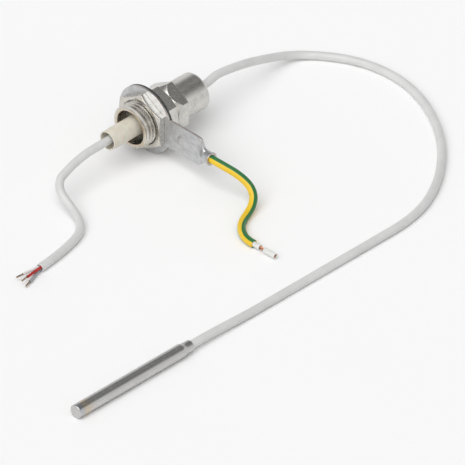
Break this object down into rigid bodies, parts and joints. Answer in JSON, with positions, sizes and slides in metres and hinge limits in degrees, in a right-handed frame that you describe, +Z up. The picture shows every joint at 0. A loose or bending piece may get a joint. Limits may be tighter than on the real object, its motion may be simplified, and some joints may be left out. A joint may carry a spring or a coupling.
{
  "type": "thermocouple",
  "caption": "Cable thermocouple: a crimped metal probe on a flexible cable that passes through a threaded panel gland with a lock nut, dome nut and earth terminal.",
  "frame": {"origin": "centre of the free end face of the gland's thread", "axes": "+X along the gland's axis from the thread's free end to the dome nut, -Y towards the earth terminal's palm, +Z up from the surface that the part lies on"},
  "size_m": [0.2176, 0.1095, 0.025],
  "materials": {
    "nickel_brass": "nickel-plated brass, turned and hexagon milled",
    "black_rubber": "matt moulded rubber",
    "nylon": "natural nylon",
    "sleeve_plastic": "extruded pale insulating sleeve",
    "tinned_copper": "tinned copper sheet, stamped and crimped",
    "copper": "bare copper strands",
    "cable_jacket": "smooth pale heat-resistant jacket",
    "core_white": "white wire insulation",
    "core_red": "red wire insulation",
    "core_grey": "grey wire insulation",
    "bare_wire": "bare conductor wire",
    "stainless": "drawn stainless tube",
    "ceramic": "fired ceramic and cement",
    "element_wire": "thermocouple wire",
    "lead_jacket": "yellow jacket with a green stripe"
  },
  "bodies": {
    "gland": {"gland_body": "nickel_brass", "panel_gasket": "black_rubber", "seal_insert": "black_rubber", "insulating_sleeve": "sleeve_plastic", "signal_cable": "cable_jacket", "tail_cable": "cable_jacket", "positive_core": "core_white", "negative_core": "core_red", "drain_core": "core_grey", "positive_tip": "bare_wire", "negative_tip": "bare_wire", "drain_tip": "bare_wire", "probe_sheath": "stainless", "tip_filler": "ceramic", "ceramic_insulator": "ceramic", "junction_bead": "element_wire", "positive_element": "element_wire", "negative_element": "element_wire", "positive_splice": "tinned_copper", "negative_splice": "tinned_copper", "neck_bush": "black_rubber"},
    "earth_terminal": {"earth_lug": "tinned_copper", "lug_conductor": "copper", "earth_lead": "lead_jacket", "lead_insulation": "core_white", "lead_strands": "copper", "lead_slug": "core_white"},
    "lock_nut": {"lock_nut": "nickel_brass"},
    "thrust_carrier": {"thrust_ring": "nylon"},
    "dome_nut": {"dome_nut": "nickel_brass"}
  },
  "joints": [
    {"name": "terminal_slide", "type": "slide", "parent": "gland", "child": "earth_terminal", "axis": [-1, 0, 0], "range_m": [0, 0.004]},
    {"name": "lock_nut_turn", "type": "hinge", "parent": "earth_terminal", "child": "lock_nut", "pos_m": [0.0058, 0, 0], "axis": [-1, 0, 0], "range_deg": [0, 961]},
    {"name": "dome_nut_travel", "type": "slide", "parent": "gland", "child": "thrust_carrier", "axis": [1, 0, 0], "range_m": [0, 0.004]},
    {"name": "dome_nut_turn", "type": "hinge", "parent": "thrust_carrier", "child": "dome_nut", "pos_m": [0.0229, 0, 0], "axis": [1, 0, 0], "range_deg": [0, 961]}
  ],
  "couplings": [
    {"joint": "lock_nut_turn", "follows": "terminal_slide", "rad_per_m": 4188.8},
    {"joint": "dome_nut_turn", "follows": "dome_nut_travel", "rad_per_m": 4188.8}
  ]
}
